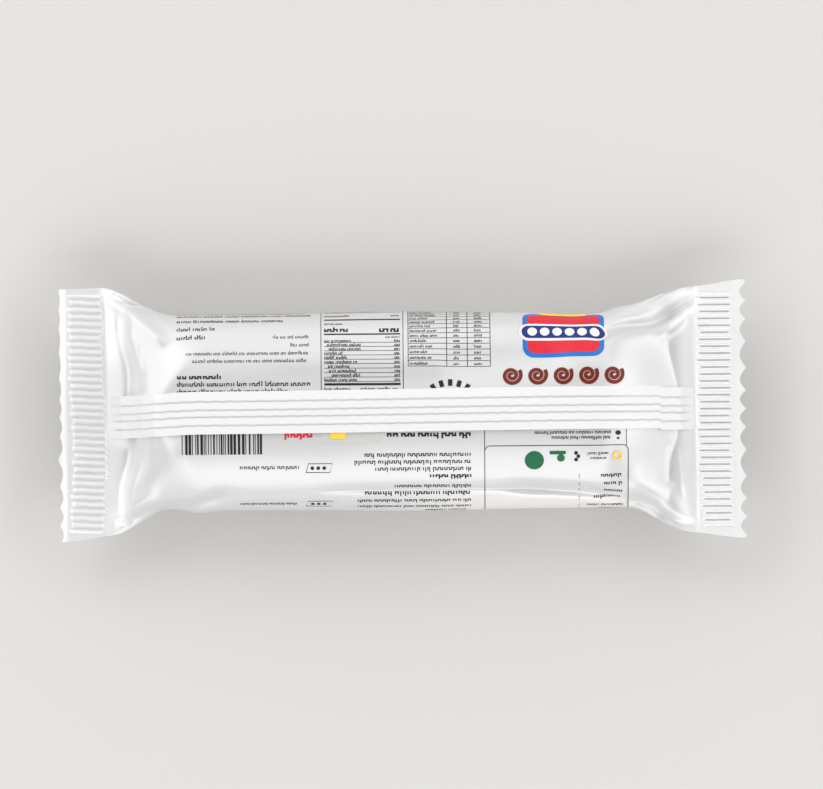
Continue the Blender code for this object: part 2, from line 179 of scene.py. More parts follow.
# The doubled film beside the left end seal slopes up to a crest. The crest leans outwards on the far
# half, and dies out past the back seal on the near half.
SKIRT_HEIGHT = 1.25 * MM
SKIRT_START = 64.2 * MM
SKIRT_CREST = 60.0 * MM
SKIRT_LEAN = 2.6 * MM
SKIRT_LEAN_REACH = (5 * MM, 22 * MM)
SKIRT_FADE = (-9 * MM, -3 * MM)
SKIRT_ROUNDING = 0.08

# Folds of the film: the points that a fold's line passes in millimetres, its width, its height,
# which is above 0 for a ridge and below it for a valley, and its form across the line
Fold = namedtuple("Fold", "line width height form")
FOLDS = (
    # The left taper: its far corner, the crest and streaks along its foot, and its near corner
    Fold(((-64.2, 29.4), (-62.6, 24.4), (-59, 21.6), (-50, 14)), 1.5 * MM, 1.1 * MM, "bell"),
    Fold(((-63.4, 26), (-61.4, 24), (-58.4, 23.2), (-52, 22.4)), 0.8 * MM, -1.1 * MM, "bell"),
    Fold(((-60.1, 2), (-60.4, -8), (-63, -38)), 2.2 * MM, 0.3 * MM, "bell"),
    Fold(((-57.8, 17), (-57.4, 8), (-57.6, 2)), 0.7 * MM, 0.25 * MM, "bell"),
    Fold(((-56.5, 16), (-56, 9), (-56.3, 3)), 0.6 * MM, -0.2 * MM, "bell"),
    Fold(((-57, -4), (-58, -13.4), (-60.4, -22)), 0.9 * MM, 0.2 * MM, "bell"),
    Fold(((-61.5, -25), (-58.6, -21.2), (-55.5, -19.4), (-52, -18.8)), 2.2 * MM, 0.6 * MM, "bell"),
    Fold(((-64, -27), (-58.5, -22.6), (-54, -21.2), (-47, -20.6), (-42.5, -19.2), (-36, -17)),
         1.3 * MM, -1.4 * MM, "bell"),
    # The right taper: the deep fold of its far corner between two ridges, its foot, its near corner
    Fold(((40, 14.4), (46.5, 18), (54.5, 18.2), (58, 20.6), (67, 26)),
         1.3 * MM, -1.7 * MM, "bell"),
    Fold(((46, 22), (53, 23.4), (62.5, 27)), 1.1 * MM, 0.6 * MM, "bell"),
    Fold(((54.5, 14.6), (58.6, 16.6), (61, 18.6), (62.2, 21)), 1.1 * MM, 0.5 * MM, "bell"),
    Fold(((59.6, -8), (60.1, -14), (61, -20)), 0.6 * MM, 0.35 * MM, "cusp"),
    Fold(((57, -6), (57.5, -12.4), (58, -17.5)), 1.6 * MM, -0.4 * MM, "bell"),
    Fold(((48, -15), (56, -17.6), (59.2, -21), (60.2, -27)), 2.9 * MM, 1.1 * MM, "bell"),
    Fold(((63.8, 38), (63.8, 0), (64, -38)), 0.5 * MM, 0.3 * MM, "cusp"),
    # The body: the long crease along its near flank, which runs on round the right taper's near
    # corner, soft dents beside the back seal, and a soft ridge under it
    Fold(((-22, -17.3), (4, -16.8), (22, -16.8), (34, -17.4)), 0.9 * MM, -0.75 * MM, "cusp"),
    Fold(((20, -16.4), (41, -17.6), (48, -19.6), (53.4, -20), (57, -23.8), (65, -25.8)),
         1.2 * MM, -1.5 * MM, "bell"),
    Fold(((-55, -7.8), (-47, -7.4)), 2.4 * MM, -0.4 * MM, "bell"),
    Fold(((-34, 7.6), (0, 7), (30, 7.4)), 2.6 * MM, -0.25 * MM, "bell"),
    Fold(((6, 11.5), (22, 11), (38, 11.5)), 4.2 * MM, -0.9 * MM, "bell"),
    Fold(((-16, -2.5), (6, -2.5), (26, -2.5), (46, -2.5)), 7 * MM, 0.5 * MM, "bell"),
)
FOLD_FADE = 0.2
FOLD_REACH = 5
CORNER_CUTS = 2
CUSP_ROUNDING = 0.1
SHEETS_PART = 4
REST_FADE = (0.8, 0.97)

# How far the film takes to turn whiter where two layers of it meet beyond the cake
DOUBLED_BLEND = 1.5 * MM

# How sharply the back seal is painted greyer where it bends down at its knees, and how much: painted
# shade for the slopes turning from the light
KNEE_BLEND = 0.4 * MM
KNEE_SHADE_SHARE = {"left": 1.0, "right": 0.3}

# Where the painted reflection begins and is full: a warm tint that stands for a brown surround mirrored
# in the film, round the near flank, and along the pack
PAINTED_REFLECTION_REACH = (
    ("Y", -17 * MM, -19 * MM),
    ("X", -10 * MM, 24 * MM),
    ("X", 52 * MM, 45 * MM),
)
PAINTED_REFLECTION_SHARE = 0.5
PAINTED_REFLECTION_TINT = (0.84, 0.81, 0.75)

# The film's gloss: on the wrap and the end seals with a coat, and without one on the back seal
FILM_IOR = 2.0
COAT_IOR = 1.8
COAT_ROUGHNESS = 0.3
STRIP_IOR = 1.45
GLOSS_SPREAD = 0.12

# The crinkles' parts of the bump's depth, how steep the creases are, and how all are drawn out
DENT_SHARE = 0.8
CREASE_SHARE = 0.08
CREASE_STEEPNESS = 4.0
CRINKLE_STRETCH = (0.45, 1.0, 1.0)
GRAIN_SHARE = 0.05

INK_ROUGHNESS = 0.38
INK_SPECULAR = 0.25

# How finely the pieces are cut up, and how far past the rises the closer rows run
TAPER_ROWS_PAST = 4 * MM
SHEET_COLUMNS = 250
SEAL_COLUMNS = 544
BODY_ROWS = 56
TAPER_ROWS = 68
SEAL_ROWS = 44
FIN_ROWS = 400
FIN_PLAIN_COLUMNS = 25
FIN_GROOVE_COLUMNS = 9
FIN_GROOVE_SPAN = 2.4
SEAL_SPREAD = 1.3

# The table that the print is wrapped by: how far it reaches and how finely it is cut up
GIRTH_REACH = 48 * MM
GIRTH_MARGIN = 2 * MM
GIRTH_STATIONS = 293
GIRTH_TURNS = 481
GIRTH_COLUMNS = 300
INSIDE_LAST_CELL = 1.001

# The view: the photo's frame and the pack's place in it, in pixels, with the pack's real length
PHOTO_SIZE = (823, 789)
PACK_ENDS = (57.0, 746.5)
PACK_MIDDLE = (401.8, 411.3)
PACK_TILT = np.radians(0.49)
CAMERA_HEIGHT = 2.5
SENSOR = 36.0
CLIP_RANGE = (0.01, 10)

# The studio: each softbox's place, size and power in watts, the floor, and how the surround's glow
# falls from the horizon upwards
SOFTBOXES = {
    "softbox_far": ((0.0, 0.72, 0.55), (1.3, 0.85), 4.7),
    "softbox_near": ((0.0, -0.66, 0.62), (1.3, 0.62), 6.7),
    "softbox_left": ((-0.7, 0.3, 0.47), (1.3, 0.8), 6.5),
    "softbox_right": ((0.75, 0.05, 0.45), (0.9, 0.8), 4.9),
}
LIGHT_AIM = (0, 0, 0.01)
FLOOR_SIDE = 3.0
FLOOR_GAP = 0.2 * MM
FLOOR_COLOUR = (0.6, 0.585, 0.57)
FLOOR_ROUGHNESS = 0.9
SURROUND_GLOW = {"From Min": 0.0, "From Max": 0.35, "To Min": 1.8, "To Max": 0.06}


def smoothstep(x, start, end):
    """0 up to start and 1 from end on, with an S-curve between them; start may be the larger."""
    share = np.clip((x - start) / (end - start), 0, 1)
    return share * share * (3 - 2 * share)


def by_end(x, values):
    """The left end's value where x is negative and the right end's elsewhere."""
    return np.where(np.asarray(x) < 0, values["left"], values["right"])


def half_width(x, side):
    """Half width of the outline: the body, plus an S-curve out to the seal, plus the swellings."""
    reach = np.abs(x)
    width = np.full(reach.shape, BODY_HALF_WIDTH)
    for end in ("left", "right"):
        corner = CORNERS[end, side]
        here = (x < 0) == (end == "left")
        flare = smoothstep(reach, corner.flare_start, corner.flare_end)
        fan = smoothstep(reach, corner.flare_end - FAN_LEAD, HALF_LENGTH)
        width = width + here * (
            (corner.seal_half_width - BODY_HALF_WIDTH) * flare
            + (corner.cut_half_width - corner.seal_half_width) * fan
        )
    for swelling in SWELLINGS:
        if swelling.side == side:
            width = width + swelling.size * np.exp(-(((x - swelling.x) / swelling.spread) ** 2))
    return width


def width_at(x, y):
    """Half width of the outline on the side that y is on."""
    return np.where(y > 0, half_width(x, "far"), half_width(x, "near"))


def fullness(x, y):
    """Share of the full height that the film has risen to: 0 at the end seals and 1 on the body. It
    is an S-curve to a power, times a short S-curve that hollows the foot. Away from the pack's
    middle line the rise starts further out on the left and further in on the right."""
    reach, aside = np.abs(x), np.abs(y)
    lean = smoothstep(aside, by_end(x, LEAN_FROM), by_end(x, LEAN_TO))
    start = by_end(x, RISE_START) - by_end(x, START_LEAN) * lean
    nose = by_end(x, NOSE_LENGTH) * smoothstep(aside, NOSE_HALF_WIDTH, 0)
    rise = smoothstep(reach, start, by_end(x, RISE_END) + nose)
    foot = smoothstep(reach, start, start - by_end(x, FOOT_LENGTH))
    return foot * rise ** by_end(x, RISE_POWER)


def oval(x, y):
    """Height of one sheet, as a share: (1 - |across|^n)^(1/m), with m easing to a flat lens."""
    across = np.clip(y / width_at(x, y), -1, 1)
    full = fullness(x, y)
    roundness = LENS_EXPONENT + (OVAL_EXPONENT - LENS_EXPONENT) * full
    return full * np.clip(1 - np.abs(across) ** OVAL_EXPONENT, 0, 1) ** (1 / roundness)


def pressed(share):
    """The share, held at exactly 1 past 1 with a short parabolic blend, as where the cake rests."""
    low, high = 1 - PRESS_BLEND, 1 + PRESS_BLEND
    blended = 1 - (high - share) ** 2 / (4 * PRESS_BLEND)
    return np.where(share < low, share, np.where(share < high, blended, 1.0))


def smooth_line(points):
    """A line through points in millimetres with its corners cut off, each cut at a quarter of the
    way along both sides of the corner."""
    line = np.array(points) * MM
    for _ in range(CORNER_CUTS):
        ahead = line[:-1] * 0.75 + line[1:] * 0.25
        behind = line[:-1] * 0.25 + line[1:] * 0.75
        cut = np.stack([ahead, behind], axis=1).reshape(-1, 2)
        line = np.concatenate([line[:1], cut[1:-1], line[-1:]])
    return line


def across_fold(away, form):
    """A fold's height by the distance from its line in widths: a bell exp(-d^2), or a cusp exp(-d)
    with its tip rounded."""
    if form == "bell":
        return np.exp(-(away**2))
    return np.exp(-np.hypot(away, CUSP_ROUNDING))


def one_fold(x, y, line, fold):
    """A fold over flat lists of places, by their distance to its line. It rises from 0 at both
    ends of the line."""
    runs = np.diff(line, axis=0)
    lengths = np.hypot(*runs.T)
    nearest = np.full(x.shape, np.inf)
    place = np.zeros(x.shape)
    for start, run, length, before in zip(line, runs, lengths, np.cumsum(lengths) - lengths):
        along = np.clip(((x - start[0]) * run[0] + (y - start[1]) * run[1]) / length**2, 0, 1)
        away = np.hypot(x - start[0] - along * run[0], y - start[1] - along * run[1])
        place = np.where(away < nearest, (before + along * length) / lengths.sum(), place)
        nearest = np.minimum(away, nearest)
    fade = smoothstep(place, 0, FOLD_FADE) * smoothstep(place, 1, 1 - FOLD_FADE)
    return fold.height * fade * across_fold(nearest / fold.width, fold.form)


def skirt(x, y):
    """Height of the skirt beside the left end seal: the lesser of a straight slope and 1, with
    their corner rounded, which gives way to the rise as the film climbs."""
    crest = SKIRT_CREST + SKIRT_LEAN * smoothstep(y, *SKIRT_LEAN_REACH)
    slope = np.clip((SKIRT_START + x) / (SKIRT_START - crest), 0, None)
    climb = (slope + 1 - np.hypot(slope - 1, SKIRT_ROUNDING)) / 2
    climb = np.where(x < 0, np.clip(climb, 0, 1), 0)
    return SKIRT_HEIGHT * climb * smoothstep(y, *SKIRT_FADE) * (1 - fullness(x, y))


def fold_relief(x, y):
    """Sum of the skirt and the folds, each fold worked out only for the places near its line."""
    x, y = np.broadcast_arrays(x, y)
    relief = skirt(x, y)
    for fold in FOLDS:
        line = smooth_line(fold.line)
        low = line.min(axis=0) - FOLD_REACH * fold.width
        high = line.max(axis=0) + FOLD_REACH * fold.width
        near = (x > low[0]) & (x < high[0]) & (y > low[1]) & (y < high[1])
        relief[near] += one_fold(x[near], y[near], line, fold)
    return relief


def seal_wave(x, y):
    """The slow wave across an end seal, which the body doesn't share, and the lip's droop."""
    reach = np.abs(x)
    phase = 2 * np.pi * y / SEAL_WAVE_LENGTH + by_end(x, SEAL_WAVE_PHASE)
    wave = SEAL_WAVE_HEIGHT * np.sin(phase) * smoothstep(reach, SEAL_WAVE_START, HALF_LENGTH)
    return wave - by_end(x, LIP_DROOP) * smoothstep(reach, by_end(x, RIDGES_OUTER), HALF_LENGTH)


def ridge_pattern(x, y):
    """Ridges across an end seal, as powers of |cos| across Y: their height as a share of RIDGE_HEIGHT,
    and a share from 0 to 1 of painted shade that the material lays in the valleys between the left
    seal's ridges and in the right seal's grooves. The left seal's stand up and step sideways halfway
    along, as two crimping jaws leave them. The right seal has narrow grooves with a faint second groove
    beside each. The band's ends wander, and differ from ridge to ridge."""
    reach = np.abs(x)
    left = x < 0
    bow = np.where(left, -BAND_BOW * np.exp(-(((y - BAND_BOW_PLACE) / BAND_BOW_SPREAD) ** 2)), 0)
    shift = np.where(left, 0, BAND_SHIFT * smoothstep(y, *BAND_SHIFT_REACH))
    inner = by_end(x, RIDGES_INNER) + bow + shift
    outer = by_end(x, RIDGES_OUTER) + bow
    half_way = smoothstep((reach - inner) / (outer - inner), *RIDGE_STEP_REACH) - 0.5
    turn = y / RIDGE_PITCH - RIDGE_STEP * np.where(left, half_way, 0)
    number = np.round(turn)
    ragged = RAGGED * np.sin(number * 2.4) + RAGGED_MORE * np.sin(number * 5.1 + 1)
    band = smoothstep(reach, inner + ragged, inner + ragged + RIDGE_END_FADE)
    ragged = RAGGED * np.sin(number * 3.7 + 2)
    band = band * smoothstep(reach, outer + ragged, outer + ragged - RIDGE_END_FADE)
    half_band = RIDGE_COUNT * RIDGE_PITCH / 2
    band = band * smoothstep(np.abs(y), half_band + RIDGE_PITCH / 4, half_band - RIDGE_PITCH / 4)
    crest = np.abs(np.cos(np.pi * turn))
    second = np.abs(np.cos(np.pi * (turn + SECOND_GROOVE_TURN)))
    ridges = crest**RIDGE_POWER
    grooves = np.maximum(crest**GROOVE_POWER, SECOND_GROOVE_SHARE * second**SECOND_GROOVE_POWER)
    raised = np.where(left, ridges - RIDGE_LEVEL, GROOVE_LEVEL - grooves)
    return band * raised, band * np.where(left, 1 - ridges, grooves)


def upper_sheet(x, y):
    """Height of the upper sheet, without the back seal."""
    bulge = BODY_BULGE * (np.cos(np.pi * x / (2 * HALF_LENGTH)) * fullness(x, y) - 1)
    body = (HALF_BODY + bulge) * oval(x, y)
    ridges = RIDGE_HEIGHT * ridge_pattern(x, y)[0]
    return SEAL_PLANE + FILM / 2 + body + fold_relief(x, y) + seal_wave(x, y) + ridges


def lower_sheet(x, y):
    """Height of the lower sheet, which is exactly 0 where the pack rests. Near the outline it goes
    with the folds of the upper sheet, and further in it has their mirror image."""
    height = oval(x, y)
    share = pressed(height * UNDERSIDE_PRESS)
    apart = np.clip(height * SHEETS_PART, 0, 1)
    folds = fold_relief(x, y) * (1 - apart) - fold_relief(x, -y) * apart
    folds = folds * (1 - smoothstep(share, *REST_FADE))
    ridges = RIDGE_HEIGHT * ridge_pattern(x, y)[0]
    height = HALF_BODY * (1 - share) + folds + seal_wave(x, y) + ridges
    return np.where(share >= 1, 0.0, height)


def cut_edge(y, end):
    """How far the toothed cut edge stands from the pack's middle: sharp tips and round valleys.
    On the left it is set back by a little, apart from one tooth."""
    turn = y / TOOTH_PITCH + TOOTH_SHIFT[end]
    turn = turn + TOOTH_DRIFT * np.sin(2 * np.pi * y / (TEETH_PER_DRIFT * TOOTH_PITCH))
    long_tooth = np.exp(-(((y - LONG_TOOTH_PLACE) / LONG_TOOTH_SPREAD) ** 2))
    half_band = RIDGE_COUNT * RIDGE_PITCH / 2
    depth = TOOTH_DEPTH[end] * (1 - TOOTH_FADE[end] * smoothstep(y, -half_band, half_band))
    teeth = depth * np.sqrt(np.sin(np.pi * turn) ** 2 + TOOTH_ROUNDING)
    return HALF_LENGTH - SET_BACK[end] * (1 - long_tooth) - teeth


def fin_centre(x):
    """Where the back seal's middle lies across the pack."""
    drift = FIN_SHIFT * smoothstep(x, -RISE_END["left"], RISE_END["right"])
    drift = drift + FIN_END_SHIFT * smoothstep(x, -RISE_END["left"], -RIDGES_INNER["left"])
    return drift - FIN_KINK * smoothstep(x, FIN_KNEE["right"], FIN_KNEE["right"] + FIN_KINK)


def place_across(x, share):
    """Y for shares from -1 to 1: even across the flat seals, and sin(90 deg x share) on the body,
    so that points gather where the flanks turn down."""
    even = 1 - fullness(x, np.zeros_like(x))
    return width_at(x, share) * (even * share + (1 - even) * np.sin(np.pi / 2 * share))


def grid_faces(rows, columns, first=0):
    """Quads of a grid of points numbered row by row."""
    corner = np.arange((rows - 1) * (columns - 1))
    corner = corner // (columns - 1) * columns + corner % (columns - 1) + first
    return np.stack([corner, corner + 1, corner + columns + 1, corner + columns], axis=1)


def mesh_piece(name, points, faces, material, tones=None, smooth_below=60):
    """An object from arrays of points and faces, smooth apart from edges sharper than an angle.
    The named values at each point are kept for the material."""
    mesh = bpy.data.meshes.new(name)
    mesh.from_pydata(points.tolist(), [], [face.tolist() for face in faces])
    mesh.shade_smooth()
    mesh.set_sharp_from_angle(angle=np.radians(smooth_below))
    mesh.materials.append(material)
    for label, values in (tones or {}).items():
        mesh.attributes.new(label, "FLOAT", "POINT").data.foreach_set("value", values)
    piece = bpy.data.objects.new(name, mesh)
    bpy.context.scene.collection.objects.link(piece)
    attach(piece, "root")
    return piece


def closed_plate(name, x, y, upper, lower, material, **tones):
    """A closed plate between two height arrays over one grid of (row along X, column across Y),
    with named values at each place of the grid."""
    rows, columns = x.shape
    top = np.stack([x, y, upper], axis=2).reshape(-1, 3)
    bottom = np.stack([x, y, lower], axis=2).reshape(-1, 3)
    count = len(top)
    number = np.arange(count).reshape(rows, columns)
    rim = np.concatenate([number[0], number[1:, -1], number[-1, -2::-1], number[-2:0:-1, 0]])
    around = np.roll(rim, -1)
    walls = np.stack([rim, around, around + count, rim + count], axis=1)
    faces = np.concatenate([grid_faces(rows, columns)[:, ::-1], grid_faces(rows, columns, count), walls])
    points = np.concatenate([top, bottom])
    if x[-1, 0] < x[0, 0]:
        faces = faces[:, ::-1]
    tones = {label: np.tile(values.ravel(), 2) for label, values in tones.items()}
    return mesh_piece(name, points, faces, material, tones)


def body_piece(material):
    """The wrap round the cake: the two sheets between the end seals, joined by a thin wall."""
    left = np.linspace(-SEAL_INNER["left"], -RISE_END["left"] + TAPER_ROWS_PAST, TAPER_ROWS)
    right = np.linspace(RISE_END["right"] - TAPER_ROWS_PAST, SEAL_INNER["right"], TAPER_ROWS)
    middle = np.linspace(left[-1], right[0], BODY_ROWS)
    x = np.concatenate([left[:-1], middle, right[1:]])[:, None]
    y = place_across(x, np.linspace(-1, 1, SHEET_COLUMNS + 1)[None, :])
    x = np.broadcast_to(x, y.shape)
    foot = by_end(x, RISE_START)
    doubled = smoothstep(np.abs(x), foot - DOUBLED_BLEND, foot + DOUBLED_BLEND)
    upper, lower = upper_sheet(x, y), lower_sheet(x, y)
    return closed_plate("wrap_body", x, y, upper, lower, material, doubled=doubled)


def seal_piece(end, material):
    """One end seal, from the film's fold beside it out to the toothed edge."""
    share = np.linspace(-1, 1, SEAL_COLUMNS + 1)[None, :]
    along = np.linspace(0, 1, SEAL_ROWS)[:, None]
    sign = -1 if end == "left" else 1
    inner = SEAL_INNER[end]
    guess = share * BODY_HALF_WIDTH * SEAL_SPREAD
    x = sign * (inner + along * (cut_edge(guess, end) - inner))
    y = place_across(x, share)
    x = sign * (inner + along * (cut_edge(y, end) - inner))
    # The second share is the painted shade of the ridges' valleys and the grooves, kept for the material
    upper, lower, pressed = upper_sheet(x, y), lower_sheet(x, y), ridge_pattern(x, y)[1]
    return closed_plate(f"end_seal_{end}", x, y, upper, lower, material, pressed=pressed)


def fin_slope(x, y, film):
    """The film's height, or where it is higher a straight slope down each taper, which the stiff
    back seal takes from its knee to its foot."""
    foot, knee = by_end(x, FIN_FOOT), by_end(x, FIN_KNEE)
    way = np.sign(x)
    at_foot, at_knee = upper_sheet(way * foot, y), upper_sheet(way * knee, y)
    slope = at_foot + (at_knee - at_foot) * np.clip((foot - np.abs(x)) / (foot - knee), 0, 1)
    taut = (np.abs(x) > knee) & (np.abs(x) < foot)
    return np.where(taut, np.maximum(film, slope), film)


def fin_piece(material):
    """The back seal: a strip on the upper sheet, hardly raised along its fold and lifted along its
    free edge, with four pressed grooves that ripple along their length. Its ends sink into the end
    seals."""
    x = np.linspace(-FIN_END["left"], FIN_END["right"], FIN_ROWS)[:, None]
    beside = np.linspace(-FIN_GROOVE_SPAN, FIN_GROOVE_SPAN, FIN_GROOVE_COLUMNS)
    beside = beside * FIN_GROOVE_WIDTH / FIN_WIDTH
    plain = np.linspace(0, 1, FIN_PLAIN_COLUMNS)
    share = np.sort(np.concatenate([plain] + [place + beside for place in FIN_GROOVES]))[None, :]
    y = fin_centre(x) + (share - 0.5) * FIN_WIDTH
    x = np.broadcast_to(x, y.shape)
    reach = np.abs(x)
    inner, end, knee = by_end(x, RIDGES_INNER), by_end(x, FIN_END), by_end(x, FIN_KNEE)
    film = fin_slope(x, y, upper_sheet(x, y))
    flat = smoothstep(reach, inner - FIN_FLAT_RUN, inner)
    free = (1 - share) ** FIN_LIFT_POWER * smoothstep(1 - share, 0, FIN_EDGE_SHARE)
    sink = smoothstep(reach, end - FIN_SINK_RUN, end)
    lift = (FIN_ROOT_LIFT + FIN_LIFT * free * (1 - FIN_FLAT_SHARE * flat)) * (1 - sink)
    lift = lift - FIN_SINK * sink
    turn = x / FIN_RIPPLE_LENGTH
    ripple = FIN_RIPPLE * (2 * (turn % 1) - 1)
    ripple = ripple * smoothstep(np.sin(np.pi * turn) ** 2, 0, FIN_RIPPLE_TURN)
    groove = np.zeros(y.shape)
    for place in FIN_GROOVES:
        away = (share - place) * FIN_WIDTH - ripple
        groove = groove + np.exp(-((away / FIN_GROOVE_WIDTH) ** 2))
    groove = groove * smoothstep(reach, end - MM, end - FIN_FADE)
    wave = FIN_WAVE * (1 - share) ** 2 * np.sin(2 * np.pi * x / FIN_WAVE_LENGTH) * (1 - flat)
    top = film + lift + wave - FIN_GROOVE_DEPTH * groove
    # Painted shade: the back seal's colour greys where it bends down each taper
    sloped = smoothstep(reach, knee - KNEE_BLEND, knee + KNEE_BLEND)
    sloped = sloped * by_end(x, KNEE_SHADE_SHARE)
    under = top - FIN_THICKNESS
    # The grooves' share also darkens them in the material: painted shade
    return closed_plate("back_seal", x, y, top, under, material, sloped=sloped, pressed=groove)


def girth_table():
    """Points of the film for even steps along the pack and round its girth, from the middle of the
    underside over one flank, the top and the other flank back to it."""
    stations = np.linspace(-HALF_LENGTH + GIRTH_MARGIN, HALF_LENGTH - GIRTH_MARGIN, GIRTH_STATIONS)
    turns = np.linspace(-GIRTH_REACH, GIRTH_REACH, GIRTH_TURNS)
    angle = np.sin(np.linspace(0, np.pi / 2, GIRTH_COLUMNS))[None, :]
    table = np.zeros((len(stations), len(turns), 3))
    table[:, :, 0] = stations[:, None]
    for side, sign in (("far", 1), ("near", -1)):
        over = sign * half_width(stations, side)[:, None] * angle
        x = np.broadcast_to(stations[:, None], over.shape)
        y = np.concatenate([over, over[:, ::-1]], axis=1)
        z = np.concatenate([upper_sheet(x, over), lower_sheet(x, over)[:, ::-1]], axis=1)
        steps = np.hypot(np.diff(y, axis=1), np.diff(z, axis=1))
        run = np.concatenate([np.zeros((len(stations), 1)), np.cumsum(steps, axis=1)], axis=1)
        part = turns * sign >= 0
        for row in range(len(stations)):
            table[row, part, 1] = np.interp(np.abs(turns[part]), run[row], y[row])
            table[row, part, 2] = np.interp(np.abs(turns[part]), run[row], z[row])
    return stations, turns, table


stations, turns, film_points = girth_table()
along_film = np.gradient(film_points, axis=0)
round_film = np.gradient(film_points, axis=1)
film_normals = np.cross(along_film, round_film)
film_normals /= np.linalg.norm(film_normals, axis=2, keepdims=True)


def on_film(x, turn, lift):
    """Points of the film at places along the pack and round its girth, lifted off it, read from
    the girth table by bilinear steps."""
    row = np.clip((x - stations[0]) / (stations[1] - stations[0]), 0, len(stations) - INSIDE_LAST_CELL)
    column = np.clip((turn - turns[0]) / (turns[1] - turns[0]), 0, len(turns) - INSIDE_LAST_CELL)
    i, j = row.astype(int), column.astype(int)
    u, v = (row - i)[..., None], (column - j)[..., None]
    surface = film_points + lift * film_normals
    low = surface[i, j] * (1 - v) + surface[i, j + 1] * v
    high = surface[i + 1, j] * (1 - v) + surface[i + 1, j + 1] * v
    return low * (1 - u) + high * u


# The print, whose places and sizes are given in millimetres along the pack and round its girth: its
# length as a share of the drawn one, how far it lies off the film, and how finely it is cut up
PRINT_LENGTH = 0.993
INK_LIFT = 0.045 * MM
INK_CELL = 0.7 * MM
FILL_CELL = 0.35
LINE = 0.14 * MM
DISC_PLACES = 9
RING_PLACES = 33
CORNER_PLACES = 7

# Small print: its strokes' width, its low strokes' height and its gaps as shares of the height, how
# many strokes a word has, and how often a stroke is tall or joined to the next
STROKE_SHARE = 0.2
LOW_SHARE = 0.64
STROKE_GAP = (0.17, 0.3)
WORD_GAP = 0.3
WORD_STROKES = (4, 15)
TALL_CHANCE = 0.16
JOIN_CHANCE = 0.75


class Ink:
    """The patches of one colour of ink, each a grid of places (along the pack, round its girth)."""

    def __init__(self, name, lift=INK_LIFT):
        self.name = name
        self.lift = lift
        self.patches = []

    def patch(self, x, turn):
        """Adds a grid of places, turned round if it would face inwards."""
        x, turn = np.broadcast_arrays(x, turn)
        area = np.sum(
            (x[:-1, 1:] - x[:-1, :-1]) * (turn[1:, :-1] - turn[:-1, :-1])
            - (x[1:, :-1] - x[:-1, :-1]) * (turn[:-1, 1:] - turn[:-1, :-1])
        )
        if area < 0:
            x, turn = x[:, ::-1], turn[:, ::-1]
        self.patches.append((x, turn))

    def block(self, x0, x1, low, high):
        """A rectangle, given in millimetres."""
        columns = max(2, int(np.ceil(abs(x1 - x0) * MM / INK_CELL)) + 1)
        rows = max(2, int(np.ceil(abs(high - low) * MM / INK_CELL)) + 1)
        self.patch(
            np.linspace(x0, x1, columns)[None, :] * MM, np.linspace(low, high, rows)[:, None] * MM
        )

    def disc(self, x, turn, radius, squash=1.0):
        """A disc as a square grid drawn in to a circle: u times root(1 - v^2/2), and v likewise."""
        side = np.linspace(-1, 1, DISC_PLACES)
        u, v = np.meshgrid(side, side)
        self.patch(
            (x + radius * u * np.sqrt(1 - v**2 / 2)) * MM,
            (turn + squash * radius * v * np.sqrt(1 - u**2 / 2)) * MM,
        )

    def stroke(self, x, turn, width):
        """A line of even width along a path of places, in millimetres."""
        x, turn = np.asarray(x, float), np.asarray(turn, float)
        dx, dt = np.gradient(x), np.gradient(turn)
        length = np.hypot(dx, dt)
        side = np.array([[-0.5], [0.5]]) * width
        self.patch((x - side * dt / length) * MM, (turn + side * dx / length) * MM)

    def ring(self, x, turn, radius, width):
        """A circle drawn with a line."""
        angle = np.linspace(0, 2 * np.pi, RING_PLACES)
        self.stroke(x + radius * np.cos(angle), turn + radius * np.sin(angle), width)

    def rounded_block(self, x0, x1, low, high, radius):
        """A filled rectangle with round corners: rows that are shorter near its two long edges."""
        height = high - low
        rise = np.concatenate([
            radius * (1 - np.cos(np.linspace(0, np.pi / 2, CORNER_PLACES))),
            np.linspace(radius, height - radius, int(height / FILL_CELL) + 3)[1:-1],
            height - radius * (1 - np.cos(np.linspace(np.pi / 2, 0, CORNER_PLACES))),
        ])[:, None]
        depth = np.clip(radius - np.minimum(rise, height - rise), 0, radius)
        inset = radius - np.sqrt(radius**2 - depth**2)
        share = np.linspace(0, 1, int((x1 - x0) / FILL_CELL) + 2)[None, :]
        self.patch((x0 + inset + share * (x1 - x0 - 2 * inset)) * MM, (low + rise) * MM)

    def piece(self, material):
        """All the patches wrapped on the film as one mesh."""
        points, faces, first = [], [], 0
        for x, turn in self.patches:
            points.append(on_film(x * PRINT_LENGTH, turn, self.lift).reshape(-1, 3))
            faces.append(grid_faces(*x.shape, first))
            first += x.size
        return mesh_piece(self.name, np.concatenate(points), np.concatenate(faces), material)


black = Ink("print_black")
brown = Ink("print_brown")
blue = Ink("print_blue")
green = Ink("print_green")
grey = Ink("print_grey")
red = Ink("print_red", 0.075 * MM)
white = Ink("print_white", 0.105 * MM)
navy = Ink("print_navy", 0.135 * MM)
yellow = Ink("print_yellow", 0.165 * MM)
dots = Ink("print_dots", 0.165 * MM)
chance = np.random.default_rng(7)


